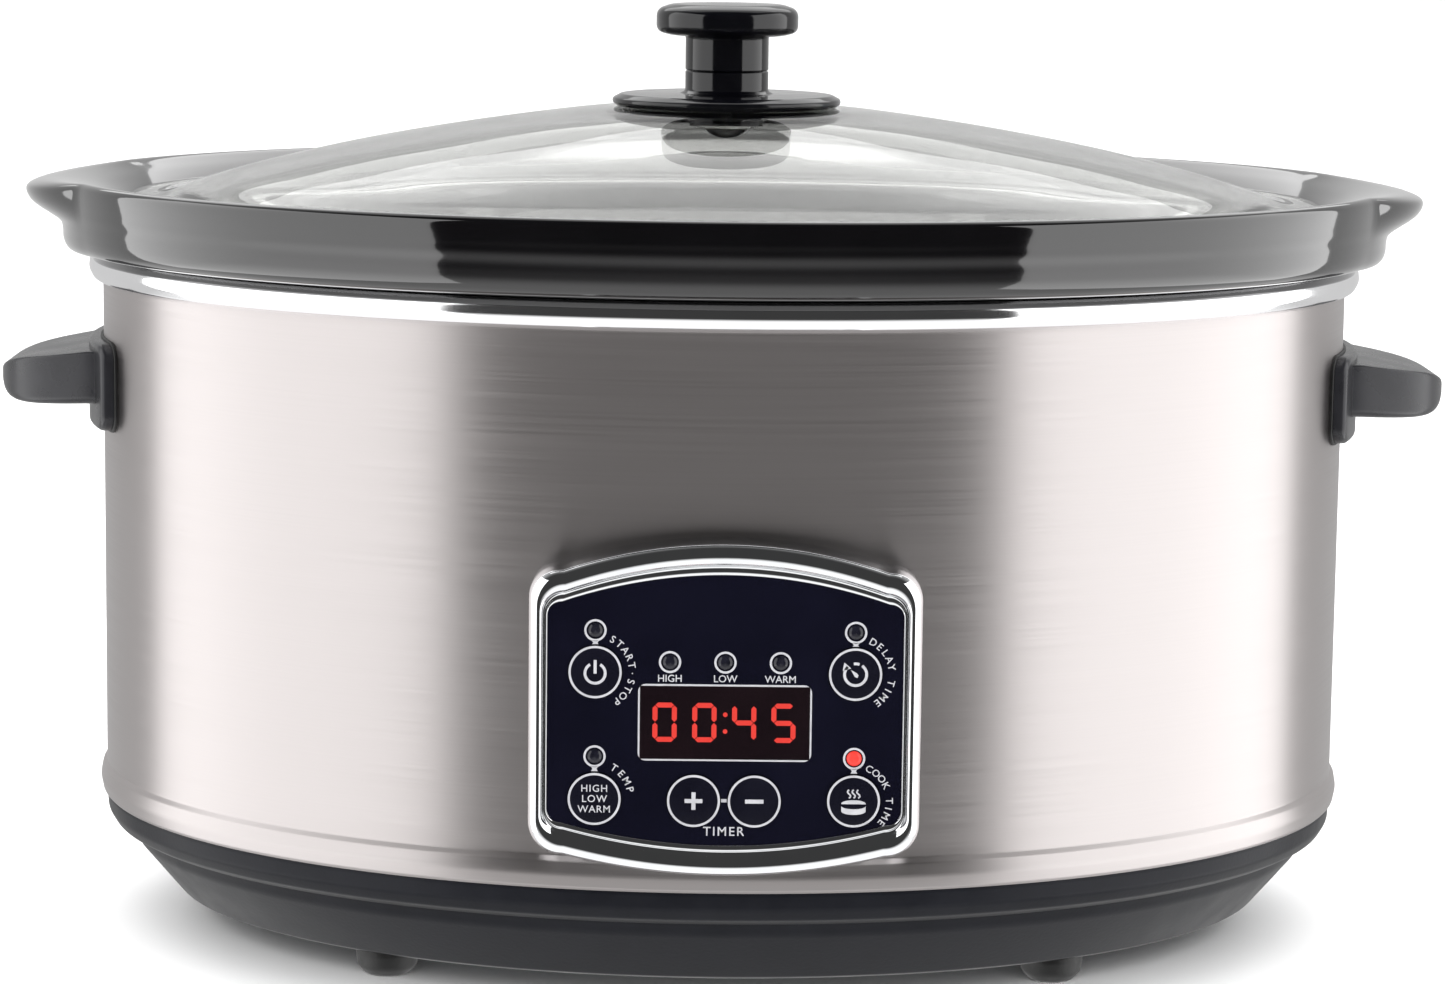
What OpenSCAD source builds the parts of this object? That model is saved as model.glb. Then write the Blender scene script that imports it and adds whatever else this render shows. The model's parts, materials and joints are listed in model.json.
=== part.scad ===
/* [Housing] */
// Length of the steel wall, side to side
wall_len = 370; // [340:1:400]
// Depth of the steel wall, front to back
wall_dep = 290; // [276:1:310]
// Height of the lower edge of the steel wall above the table
wall_low = 38; // [36:0.5:44]
// Height of the upper edge of the steel wall above the table
wall_top = 191.5; // [188:0.5:196]
// Thickness of the steel wall
wall_t = 0.6; // [0.5:0.1:1]
// Height of the underside of the base above the table
base_low = 8; // [7:0.5:10]

/* [Crock and lid] */
// How far the crock's rim stands out past the steel wall
rim_out = 12; // [9:0.5:13]
// Height of the crock's rim above the table
rim_z = 222; // [220:0.5:224]
// Thickness of the stoneware
crock_t = 7; // [6:0.5:8]
// Thickness of the lid glass
glass_t = 4.2; // [4:0.1:5]
// Diameter of the knob's cap
knob_dia = 42; // [38:1:48]

/* [Control panel] */
// Width of the chrome bezel
panel_w = 106; // [104:1:110]
// Height of the chrome bezel at its middle
panel_h = 92.5; // [92:0.5:96]
// Height of the middle of the panel above the table
panel_z = 90; // [88:0.5:94]
// Diameter of each button
button_dia = 14.4; // [13:0.2:14.6]
// How far a button goes in when it is pressed
button_travel = 0.6; // [0.3:0.1:0.6]

/* [Handles and feet] */
// How far the tip of a handle stands out past the steel wall
handle_out = 31; // [26:1:36]
// Half the width of a handle where it meets its plate
handle_half = 34; // [28:1:38]
// Diameter of a foot
foot_dia = 18; // [16:1:22]
// Distance between the feet, side to side
foot_span_x = 190; // [170:1:200]
// Distance between the feet, front to back
foot_span_y = 172; // [150:1:180]

/* [Hidden] */
$fn = 64;

SIDES = 72;                 // sides of every large oval
rx = wall_len / 2;
ry = wall_dep / 2;
eps = 0.01;
fit = 0.3;                  // clearance between pieces that come apart

// Heights inside the housing
pot_out = -17;              // outside of the heating pot, from the wall line
pot_t = 1;
pot_floor = wall_low + 17;
crock_floor = pot_floor + 6;
rim_roll_top = wall_top + 9;
floor_t = 3;
board_t = 1.6;

// Depths of the control panel, measured along -Y
face_y = ry + 5;            // front face of the fascia
fascia_t = 2.2;
bezel_y = face_y + 2.4;     // front edge of the bezel
board_y = face_y - 8.6;     // front face of the control board
lens_proud = 0.3;
button_proud = 0.8;
key_back = face_y - fascia_t - 1;   // back face of a button

// Places on the panel: [x, height above the panel's middle]
key_x = 35;
key_upper = 10;
key_lower = -24.8;
pm_x = 8.2;                 // plus and minus buttons
led_x = 14.9;               // mode lights
led_upper = 21.3;
led_mode = 12.8;
led_lower = -13.2;
window_v = -3.7;
window_w = 46;
window_h = 20.2;
KEYS = [[-key_x, key_upper], [key_x, key_upper], [-key_x, key_lower], [key_x, key_lower],
        [-pm_x, key_lower - 0.3], [pm_x, key_lower - 0.3]];
LIGHTS = [[-key_x, led_upper], [key_x, led_upper], [-key_x, led_lower],
          [-led_x, led_mode], [0, led_mode], [led_x, led_mode]];
LIGHT_COOK = [key_x, led_lower];
led_r = 2.1;

// Places of fasteners
handle_z = wall_top - 30;
handle_screw_y = 20;
board_screw = [40.4, 29.6];
cover_screw = [62, 44];

// ---------- shapes used by several parts ----------

// An oval as a list of points, with a bump at each end that makes the crock's lugs
function oval(a, b, lug = 0) = [for (i = [0:SIDES - 1]) let (t = 360 * i / SIDES)
  [(a + lug * pow(abs(cos(t)), 8)) * cos(t), b * sin(t)]];

// The wall line moved out by d
function wall_oval(d, lug = 0) = oval(rx + d, ry + d, lug);

// A solid through a stack of ovals; each layer is [oval points, height]
module stack(layers) {
  n = SIDES;
  m = len(layers);
  points = [for (l = layers) for (p = l[0]) [p[0], p[1], l[1]]];
  sides = [for (j = [0:m - 2]) for (i = [0:n - 1]) let (k = (i + 1) % n)
    [j * n + i, (j + 1) * n + i, (j + 1) * n + k, j * n + k]];
  polyhedron(points, concat([[for (i = [0:n - 1]) i]], sides,
    [[for (i = [n - 1:-1:0]) (m - 1) * n + i]]));
}

// The same, with each layer given as [distance from the wall line, height]
module wall_stack(layers) stack([for (l = layers) [wall_oval(l[0]), l[1]]]);

// A straight-sided oval ring between two distances from the wall line
module wall_band(d_in, d_out, z0, z1) {
  translate([0, 0, z0]) linear_extrude(z1 - z0) difference() {
    polygon(wall_oval(d_out));
    polygon(wall_oval(d_in));
  }
}

module wall_plug(d, z0, z1) translate([0, 0, z0]) linear_extrude(z1 - z0) polygon(wall_oval(d));

// Outline of the panel: upright sides, arched top and bottom, round corners
function arch(hw, top, bottom, sag_t, sag_b, r, n = 6) = let (w = hw - r) concat(
  [for (i = [0:n]) let (a = 90 * i / n - 90) [w + r * cos(a), bottom + sag_b + r + r * sin(a)]],
  [for (i = [0:n]) let (a = 90 * i / n) [w + r * cos(a), top - sag_t - r + r * sin(a)]],
  [for (i = [1:2 * n - 1]) let (x = w * (1 - i / n)) [x, top - sag_t * pow(x / w, 2)]],
  [for (i = [0:n]) let (a = 90 * i / n + 90) [-w + r * cos(a), top - sag_t - r + r * sin(a)]],
  [for (i = [0:n]) let (a = 90 * i / n + 180) [-w + r * cos(a), bottom + sag_b + r + r * sin(a)]],
  [for (i = [1:2 * n - 1]) let (x = w * (i / n - 1)) [x, bottom + sag_b * pow(x / w, 2)]]);

bezel_outline = arch(panel_w / 2, panel_h / 2, -panel_h / 2, 7.5, 5.6, 9);
opening_outline = arch(panel_w / 2 - 5, panel_h / 2 - 9.6, 8.8 - panel_h / 2, 7.6, 6, 4);
fascia_outline = arch(panel_w / 2 - 3.6, panel_h / 2 - 8.2, 7.4 - panel_h / 2, 7.6, 6, 5);

// Stands a flat panel shape up: front face at -y_front, going back by t
module upright(y_front, t) {
  translate([0, t - y_front, panel_z]) rotate([90, 0, 0]) linear_extrude(t) children();
}

module rod(p, r, h) translate(p) cylinder(r = r, h = h);

// A piece that stands on the panel at p, between two depths
module peg(p, r, y_front, y_back) {
  translate([p[0], -y_back, panel_z + p[1]]) rotate([90, 0, 0]) cylinder(r = r, h = y_front - y_back);
}

// A wire: straight runs with round elbows between points
module wire(points, r) {
  for (i = [0:len(points) - 2]) {
    a = points[i];
    d = points[i + 1] - a;
    translate(a) rotate([0, acos(d[2] / norm(d)), atan2(d[1], d[0])]) cylinder(r = r, h = norm(d), $fn = 16);
  }
  for (i = [1:len(points) - 2]) translate(points[i]) sphere(r = r, $fn = 16);
}

// ---------- lid ----------

dome_z = rim_z + 21.2;      // top of the glass under the knob
collar_r = 34;
stem_r = 12.4;
collar_top = dome_z + 3.8;
stem_seam = dome_z + 10.8;
cap_low = dome_z + 21.6;
cap_top = dome_z + 30.8;
seat_z = rim_z - 9.6;       // ledge that the lid rests on

// Glass layers: [half length, half depth, height]
function glass_outer(t) = [[176 - t, 136 - t, seat_z + fit + 0.01], [177.5 - t, 137.5 - t, seat_z + 1.6],
  [177.5 - t, 137.5 - t, seat_z + 3.2], [175.5 - t, 135.5 - t, seat_z + 4.6], [168, 128.5, seat_z + 4.9],
  [157, 119.5, seat_z + 7.6], [140, 106.5, seat_z + 12.6], [112, 86.5, seat_z + 19.2],
  [84, 66.5, seat_z + 24.4], [56, 48, seat_z + 28.6], [36, 36, dome_z]];

module lid_glass() color([0.75, 0.78, 0.78, 0.5]) difference() {
  stack([for (l = glass_outer(0)) [oval(l[0], l[1]), l[2]]]);
  stack([[oval(169, 129.5), seat_z - 1], [oval(165, 126.5), seat_z + 0.7],
    [oval(155, 118), seat_z + 7.6 - glass_t], [oval(138, 105), seat_z + 12.6 - glass_t],
    [oval(110, 85), seat_z + 19.2 - glass_t], [oval(82, 65), seat_z + 24.4 - glass_t],
    [oval(54, 46.5), seat_z + 28.6 - glass_t], [oval(34, 34), dome_z - glass_t]]);
  rod([0, 0, dome_z - 15], 2.6, 30);
}

module knob_cap() color([0.06, 0.06, 0.06]) difference() {
  rotate_extrude() {
    polygon([[0, stem_seam], [stem_r, stem_seam], [stem_r, cap_low - 1], [stem_r + 1, cap_low],
      [knob_dia / 2 - 4.2, cap_low], [knob_dia / 2 - 1.3, cap_low + 1.4], [knob_dia / 2, cap_low + 4],
      [knob_dia / 2 - 0.8, cap_low + 6.4], [knob_dia / 2 - 3.4, cap_low + 8], [8, cap_top - 0.2],
      [0, cap_top]]);
  }
  rod([0, 0, stem_seam - eps], 3.5, 14);
}

module knob_insert() color([0.75, 0.6, 0.3]) difference() {
  rod([0, 0, stem_seam + 0.5], 3.5, 12);
  rod([0, 0, stem_seam], 2, 13);
}

module knob_collar() color([0.06, 0.06, 0.06]) difference() {
  rotate_extrude() polygon([[0, dome_z], [collar_r - 1.2, dome_z], [collar_r, dome_z + 1.2],
    [collar_r, collar_top - 1.2], [collar_r - 1.4, collar_top - 0.2], [stem_r + 3, collar_top],
    [stem_r + 0.6, collar_top + 1], [stem_r, collar_top + 3], [stem_r, stem_seam], [0, stem_seam]]);
  rod([0, 0, dome_z - 1], 2.4, 20);
}

module knob_gasket() color([0.3, 0.3, 0.3]) difference() {
  rod([0, 0, dome_z - glass_t - 1.5], 11, 1.5);
  rod([0, 0, dome_z - 10], 2.4, 10);
}

module knob_washer() color("silver") difference() {
  rod([0, 0, dome_z - glass_t - 2.5], 9, 1);
  rod([0, 0, dome_z - 10], 2.4, 10);
}

module knob_screw() color("silver") {
  rod([0, 0, dome_z - glass_t - 4], 2, stem_seam + 12 - dome_z + glass_t + 4);
  intersection() {
    rod([0, 0, dome_z - glass_t - 6.3], 6.5, 3.8);
    translate([0, 0, dome_z - glass_t + 1.5]) sphere(r = 7.8);
  }
}

// ---------- crock ----------

lug_out = 10;               // how far a lug's tip stands out past the rim

module crock() color([0.1, 0.1, 0.11]) difference() {
  union() {
    wall_stack([[-52, crock_floor], [-44, crock_floor + 2.5], [-37, crock_floor + 9],
      [-32, crock_floor + 24], [-22, rim_z - 24], [-17, rim_z - 19.5], [-3, rim_z - 19.5],
      [0, rim_roll_top + 0.2], [5, rim_roll_top + 0.2], [rim_out - 3.2, rim_z - 17.8],
      [rim_out - 0.9, rim_z - 14], [rim_out, rim_z - 2], [rim_out - 1.6, rim_z]]);
    stack([[wall_oval(rim_out - 4, 2), rim_z - 16], [wall_oval(rim_out - 1, lug_out - 2), rim_z - 10],
      [wall_oval(rim_out, lug_out), rim_z - 6], [wall_oval(rim_out - 0.6, lug_out - 1), rim_z - 3.4]]);
  }
  stack([[oval(rx - 66, ry - 66), crock_floor + crock_t + 0.5],
    [oval(rx - 52, ry - 52), crock_floor + crock_t + 2.5], [oval(rx - 43, ry - 43), crock_floor + 19],
    [oval(rx - 39, ry - 39), crock_floor + 34], [oval(rx - 29, ry - 29), rim_z - 20],
    [oval(rx - 25, ry - 25), seat_z], [oval(rx - 24.8, ry - 24.8), seat_z + eps],
    [oval(rx - 5.6, ry - 5.6), seat_z + 2 * eps], [oval(rx - 4.6, ry - 4.6), seat_z + 1],
    [oval(rx + 2, ry + 2), rim_z - 3.4], [oval(rx + rim_out - 3.6, ry + rim_out - 3.6), rim_z + eps]]);
}

// ---------- housing ----------

module outer_wrap() color([0.76, 0.73, 0.72]) difference() {
  wall_stack([[0.4, wall_low], [1.4, wall_low + 1.2], [1.8, wall_low + 4.4], [1.4, wall_low + 7.6],
    [0.1, wall_low + 9.4], [0, wall_low + 12], [0, wall_top]]);
  wall_plug(-wall_t, wall_low - 1, wall_top + 1);
  upright(ry + 20, 60) square([panel_w - 13, panel_h - 21], center = true);
  for (s = [-1, 1], y = [-1, 1]) translate([s * (rx - 20), y * handle_screw_y, handle_z])
    rotate([0, 90 * s, 0]) cylinder(r = 2.3, h = 40);
  translate([0, ry - 20, 60]) rotate([-90, 0, 0]) cylinder(r = 6.4, h = 40);
}

module top_rim() color([0.85, 0.85, 0.86]) difference() {
  wall_stack([[0.6, wall_top], [2.8, wall_top + 1], [4, wall_top + 3.6], [3.8, wall_top + 6],
    [2.4, wall_top + 8.2], [-0.5, rim_roll_top]]);
  wall_plug(-0.2, wall_top - 1, wall_top + 2);
  wall_plug(-9, wall_top - 2, wall_top + 20);
}

module heating_pot() color([0.62, 0.63, 0.64]) difference() {
  union() {
    wall_stack([[-42, pot_floor], [-30, pot_floor + 2], [-21, pot_floor + 10], [pot_out, pot_floor + 22],
      [pot_out, wall_top + 1]]);
    wall_plug(-1, wall_top, wall_top + pot_t);
  }
  wall_stack([[-43, pot_floor + pot_t], [-31, pot_floor + 3], [-22, pot_floor + 11],
    [pot_out - pot_t, pot_floor + 23], [pot_out - pot_t, wall_top + 3]]);
  rod([0, 0, pot_floor - 1], 3, 5);
}

module heater_band() color([0.8, 0.78, 0.7]) wall_band(pot_out, pot_out + 1.3, wall_low + 44, wall_low + 92);

module heater_strap() color("silver") {
  wall_band(pot_out + 1.3, pot_out + 1.9, wall_low + 58, wall_low + 78);
}

module insulation_blanket() color([0.92, 0.9, 0.84]) {
  wall_band(pot_out + 2, pot_out + 5.5, wall_low + 46, wall_top - 8);
}

base_step = wall_low - 10;  // height of the step between the two tiers

module base_shell() color([0.11, 0.11, 0.12]) difference() {
  wall_stack([[-24, base_low], [-21.5, base_low + 1], [-8.5, base_low + 17], [-7, base_step - 0.2],
    [-5.6, base_step], [-2.6, base_step + 1.4], [-0.6, base_step + 4.4], [0, wall_low - 0.8], [0, wall_low]]);
  wall_stack([[-26.5, base_low + floor_t], [-12, base_low + 17], [-8.5, base_step + 2],
    [-3, wall_low - 2], [-3, wall_low + 1]]);
  wall_plug(-102, base_low - 1, base_low + floor_t + 1);
  for (p = [[-1, -1], [1, -1], [-1, 1], [1, 1]])
    rod([p[0] * foot_span_x / 2, p[1] * foot_span_y / 2, 0], 2.2, 20);
  for (p = [[-1, -1], [1, -1], [-1, 1], [1, 1]])
    rod([p[0] * cover_screw[0], p[1] * cover_screw[1], 0], 1.8, 20);
}

module bottom_cover() color([0.5, 0.5, 0.52]) difference() {
  translate([0, 0, base_low + floor_t]) linear_extrude(1.2) polygon(wall_oval(-82));
  rod([0, 0, 0], 3.4, 20);
  for (p = [[-1, -1], [1, -1], [-1, 1], [1, 1]])
    rod([p[0] * cover_screw[0], p[1] * cover_screw[1], 0], 1.8, 20);
}

module base_screws() color("silver") for (p = [[-1, -1], [1, -1], [-1, 1], [1, 1]])
  translate([p[0] * cover_screw[0], p[1] * cover_screw[1], 0]) {
    rod([0, 0, base_low - 1.6], 3.2, 1.6);
    rod([0, 0, base_low - 0.5], 1.7, 6);
  }

module tie_bolt() color("silver") {
  rod([0, 0, base_low - 2], 3, pot_floor + pot_t - base_low + 2);
  rod([0, 0, pot_floor + pot_t], 8, 1.6);
}

module tie_washer() color("silver") difference() {
  rod([0, 0, base_low + floor_t - 1.5], 9, 1.5);
  rod([0, 0, 0], 3.1, 30);
}

module tie_nut() color("silver") difference() {
  translate([0, 0, base_low + floor_t - 5]) cylinder(r = 5.8, h = 3.5, $fn = 6);
  rod([0, 0, 0], 3, 40);
}

// ---------- feet ----------

module foot(sx, sy) color([0.04, 0.04, 0.04]) {
  translate([sx * foot_span_x / 2, sy * foot_span_y / 2, 0]) difference() {
    rotate_extrude() polygon([[0, 0], [foot_dia * 0.25, 0], [foot_dia * 0.39, 1.2], [foot_dia * 0.47, 3.4],
      [foot_dia / 2, 6], [foot_dia / 2, base_low], [0, base_low]]);
    rod([0, 0, 1.5], 4, 3.2);
    rod([0, 0, 1.5], 2.2, 10);
  }
}
module foot_front_left() foot(-1, -1);
module foot_front_right() foot(1, -1);
module foot_rear_left() foot(-1, 1);
module foot_rear_right() foot(1, 1);

module foot_screws() color("silver") for (sx = [-1, 1], sy = [-1, 1])
  translate([sx * foot_span_x / 2, sy * foot_span_y / 2, 0]) {
    rod([0, 0, 2.4], 3.8, 2.2);
    rod([0, 0, 3], 1.9, base_low + 4);
  }

// ---------- handles ----------

// Side view of the grip: [distance out from the wall line, height]
grip_side = [[2, handle_z - 5.2], [10, handle_z - 6], [handle_out - 8, handle_z - 7],
  [handle_out - 3, handle_z - 6.2], [handle_out - 0.6, handle_z - 3], [handle_out, handle_z + 0.4],
  [handle_out - 1.4, handle_z + 3], [handle_out - 5, handle_z + 5.6], [handle_out - 14, handle_z + 8.2],
  [10, handle_z + 9.8], [2, handle_z + 10.4]];

module handle(s) color([0.1, 0.1, 0.1]) mirror([s < 0 ? 1 : 0, 0, 0]) difference() {
  union() {
    intersection() {
      wall_band(0.9, 4.2, handle_z - 12.4, handle_z + 13);
      translate([rx - 40, -43, handle_z - 18]) cube([60, 86, 31]);
    }
    intersection() {
      translate([rx, handle_half + 10, 0]) rotate([90, 0, 0]) linear_extrude(2 * handle_half + 20)
        polygon(concat(grip_side, [[-20, handle_z + 10.4], [-20, handle_z - 5.2]]));
      translate([0, 0, handle_z - 20]) linear_extrude(40)
        polygon([for (i = [-18:18]) let (t = 5 * i)
          [rx - 10 + (handle_out + 10) * cos(t), handle_half * 1.06 * sin(t)]]);
      wall_band(2, 60, handle_z - 20, handle_z + 20);
    }
  }
  for (y = [-1, 1]) translate([rx - 20, y * handle_screw_y, handle_z]) rotate([0, 90, 0]) cylinder(r = 2, h = 32);
}
module handle_left() handle(-1);
module handle_right() handle(1);

module handle_gasket(s) color([0.05, 0.05, 0.05]) mirror([s < 0 ? 1 : 0, 0, 0]) difference() {
  intersection() {
    wall_band(0, 0.9, handle_z - 13, handle_z + 13.6);
    translate([rx - 40, -44, handle_z - 19]) cube([60, 88, 40]);
  }
  for (y = [-1, 1]) translate([rx - 20, y * handle_screw_y, handle_z]) rotate([0, 90, 0]) cylinder(r = 2.3, h = 40);
}
module handle_gasket_left() handle_gasket(-1);
module handle_gasket_right() handle_gasket(1);

module handle_backing_plates() color("silver") for (s = [0, 1]) mirror([s, 0, 0]) difference() {
  intersection() {
    wall_band(-wall_t - 1.6, -wall_t, handle_z - 10, handle_z + 10);
    translate([rx - 40, -32, handle_z - 10]) cube([60, 64, 20]);
  }
  for (y = [-1, 1]) translate([rx - 20, y * handle_screw_y, handle_z]) rotate([0, 90, 0]) cylinder(r = 2.3, h = 40);
}

// Wall line at a fastener, and the inside of the backing plate there
screw_x = rx * sqrt(1 - pow(handle_screw_y / ry, 2)) - 4;

module handle_screws() color("silver") for (s = [0, 1], y = [-1, 1]) mirror([s, 0, 0])
  translate([screw_x, y * handle_screw_y, handle_z]) rotate([0, 90, 0]) {
    rod([0, 0, -1.8], 3.8, 2.2);
    rod([0, 0, 0], 2, 17);
  }

// ---------- control panel ----------

module panel_bezel() color([0.86, 0.87, 0.88]) difference() {
  upright(bezel_y, 16) polygon(bezel_outline);
  upright(bezel_y + 1, 30) polygon(opening_outline);
  upright(face_y, 20) polygon(fascia_outline);
  upright(face_y - fascia_t + eps, 30) square([panel_w - 15 + fit, panel_h - 23 + fit], center = true);
  wall_plug(0, 0, wall_top);
  wall_plug(1.9, 0, wall_low + 12.1);
}

module panel_fascia() color([0.04, 0.04, 0.07]) difference() {
  upright(face_y, fascia_t) polygon(fascia_outline);
  for (p = KEYS) peg(p, button_dia / 2 + 0.25, face_y + 1, face_y - 5);
  for (p = concat(LIGHTS, [LIGHT_COOK])) peg(p, led_r, face_y + 1, face_y - 5);
  upright(face_y + 1, 5) translate([0, window_v]) square([window_w, window_h], center = true);
}

module panel_housing() color([0.16, 0.16, 0.17]) difference() {
  upright(face_y - fascia_t, 14) square([panel_w - 15, panel_h - 23], center = true);
  upright(face_y, fascia_t + 12.2) square([panel_w - 18.6, panel_h - 26], center = true);
  for (sx = [-1, 1], sy = [-1, 1]) peg([sx * board_screw[0], sy * board_screw[1]], 1, face_y, face_y - 20);
  translate([ribbon_x - 1, ribbon_y - 0.3, panel_z - panel_h / 2]) cube([ribbon[0] + 2, ribbon[1] + 0.6, 20]);
}

module display_window() color([0.12, 0.02, 0.02])
  upright(face_y + lens_proud, fascia_t + lens_proud) translate([0, window_v])
    square([window_w - 0.2, window_h - 0.2], center = true);

module display_module() color([0.1, 0.1, 0.1])
  upright(face_y - fascia_t - 0.1, face_y - fascia_t - 0.1 - board_y) translate([0, window_v])
    square([window_w - 2, window_h - 2], center = true);

module control_board() color([0.1, 0.4, 0.2]) difference() {
  upright(board_y, board_t) square([panel_w - 19.4, panel_h - 26.8], center = true);
  for (sx = [-1, 1], sy = [-1, 1])
    peg([sx * board_screw[0], sy * board_screw[1]], 1.4, board_y + 1, board_y - 4);
}

module board_screws() color("silver") for (sx = [-1, 1], sy = [-1, 1]) {
  peg([sx * board_screw[0], sy * board_screw[1]], 2.2, board_y + 1.4, board_y);
  peg([sx * board_screw[0], sy * board_screw[1]], 1, board_y + 0.5, face_y - fascia_t - 13);
}

module tact_switches() color([0.2, 0.2, 0.2]) for (p = KEYS) {
  translate([p[0] - 3, -board_y - 3.5, panel_z + p[1] - 3]) cube([6, 3.5, 6]);
  peg(p, 1.7, key_back - button_travel - 0.1, board_y + 3);
}

module indicator_leds() color([0.9, 0.9, 0.85]) for (p = concat(LIGHTS, [LIGHT_COOK]))
  peg(p, 1.5, face_y - fascia_t - 0.6, board_y);

module lens(p) peg(p, led_r, face_y + lens_proud, face_y - fascia_t);

module led_lenses() color([0.2, 0.2, 0.25]) for (p = LIGHTS) lens(p);

module led_lens_cook() color([0.95, 0.15, 0.12]) lens(LIGHT_COOK);

module button(p) color([0.08, 0.08, 0.11]) {
  peg(p, button_dia / 2, face_y + button_proud, key_back);
  peg(p, button_dia / 2 + 0.6, face_y - fascia_t - 0.15, key_back);
}
module button_start_stop() button(KEYS[0]);
module button_delay() button(KEYS[1]);
module button_temp() button(KEYS[2]);
module button_cook() button(KEYS[3]);
module button_plus() button(KEYS[4]);
module button_minus() button(KEYS[5]);

// ---------- electrics ----------

pcb = [-78, 8, base_low + floor_t + 4];   // corner of the power board
pcb_size = [66, 46];
pcb_z = pcb[2] + board_t;

module power_board() color([0.1, 0.4, 0.2]) {
  translate(pcb) cube([pcb_size[0], pcb_size[1], board_t]);
  for (x = [5, pcb_size[0] - 5], y = [5, pcb_size[1] - 5])
    rod([pcb[0] + x, pcb[1] + y, base_low + floor_t + 1.2], 2.5, 2.8);
}

module power_transformer() color([0.85, 0.7, 0.2]) translate([pcb[0] + 6, pcb[1] + 12, pcb_z]) {
  cube([20, 16, 13]);
  translate([3, -2, 2]) cube([14, 20, 9]);
}

module relay() color([0.15, 0.3, 0.6]) translate([pcb[0] + 34, pcb[1] + 24, pcb_z]) cube([19, 15, 15]);

module terminal_block() color([0.2, 0.5, 0.3]) translate([pcb[0] + 32, pcb[1] + 3, pcb_z]) difference() {
  cube([30, 10, 12]);
  for (i = [0:2]) translate([5 + 10 * i, 5, 6]) cylinder(r = 2.2, h = 10);
}

sensor = [0, -30];          // where the sensors press on the pot

module thermistor() color("silver") rod([sensor[0] - 9, sensor[1], pot_floor - 8], 5, 8);

module thermal_fuse() color([0.9, 0.88, 0.8]) rod([sensor[0] + 9, sensor[1], pot_floor - 6], 5, 6);

module sensor_clip() color("silver") {
  translate([sensor[0] - 18, sensor[1] - 6, pot_floor - 9]) cube([22, 12, 1]);
  translate([sensor[0] + 4, sensor[1] - 6, pot_floor - 9]) cube([1, 12, 3]);
  translate([sensor[0] + 4, sensor[1] - 6, pot_floor - 7]) cube([14, 12, 1]);
}

lead_r = 1.5;
run_z = wall_low + 8;       // height at which wires cross under the pot

// Each lead comes down from the heater band behind the pot, and runs in to the terminal block
module heater_leads() color([0.85, 0.85, 0.8]) for (i = [0, 1]) {
  x = pcb[0] + 37 + 10 * i;
  y = (ry + pot_out) * sqrt(1 - pow(x / (rx + pot_out), 2)) + lead_r + 0.2;
  wire([[x, y, wall_low + 44], [x, y, run_z], [x, pcb[1] + 8, run_z], [x, pcb[1] + 8, pcb_z + 12]], lead_r);
}

ribbon = [16, 1];           // width and thickness of the flat cable
ribbon_x = -36;
ribbon_y = -board_y + board_t + 0.4;

module ribbon_cable() color([0.7, 0.7, 0.72]) {
  translate([ribbon_x, ribbon_y, run_z]) cube([ribbon[0], ribbon[1], panel_z - 26 - run_z]);
  translate([ribbon_x, ribbon_y, run_z]) cube([ribbon[0], pcb[1] + 1.5 - ribbon_y, ribbon[1]]);
  translate([ribbon_x, pcb[1] + 0.5, pcb_z]) cube([ribbon[0], ribbon[1], run_z + ribbon[1] - pcb_z]);
}

// ---------- cord inlet ----------

module cord_gland() color([0.07, 0.07, 0.07]) difference() {
  translate([0, ry - 12, 60]) rotate([-90, 0, 0]) {
    rod([0, 0, 0], 6.2, 16);
    rod([0, 0, 12.4], 9, 5.4);
  }
  translate([0, ry - 20, 60]) rotate([-90, 0, 0]) cylinder(r = 3.3, h = 40);
}

module gland_nut() color([0.12, 0.12, 0.12]) difference() {
  translate([0, ry - 7, 60]) rotate([-90, 0, 0]) cylinder(r = 9.5, h = 5.6, $fn = 6);
  translate([0, ry - 20, 60]) rotate([-90, 0, 0]) cylinder(r = 6.2, h = 40);
}

lid_glass();
knob_cap();
knob_insert();
knob_collar();
knob_gasket();
knob_washer();
knob_screw();
crock();
outer_wrap();
top_rim();
heating_pot();
heater_band();
heater_strap();
insulation_blanket();
base_shell();
bottom_cover();
base_screws();
tie_bolt();
tie_washer();
tie_nut();
foot_front_left();
foot_front_right();
foot_rear_left();
foot_rear_right();
foot_screws();
handle_left();
handle_right();
handle_gasket_left();
handle_gasket_right();
handle_backing_plates();
handle_screws();
panel_bezel();
panel_fascia();
panel_housing();
display_window();
display_module();
control_board();
board_screws();
tact_switches();
indicator_leds();
led_lenses();
led_lens_cook();
button_start_stop();
button_delay();
button_temp();
button_cook();
button_plus();
button_minus();
power_board();
power_transformer();
relay();
terminal_block();
thermal_fuse();
thermistor();
sensor_clip();
heater_leads();
ribbon_cable();
cord_gland();
gland_nut();
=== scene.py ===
"""Looks of the oval slow cooker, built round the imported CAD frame."""

import json
import math

import bmesh
import bpy
from mathutils import Matrix, Vector


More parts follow.
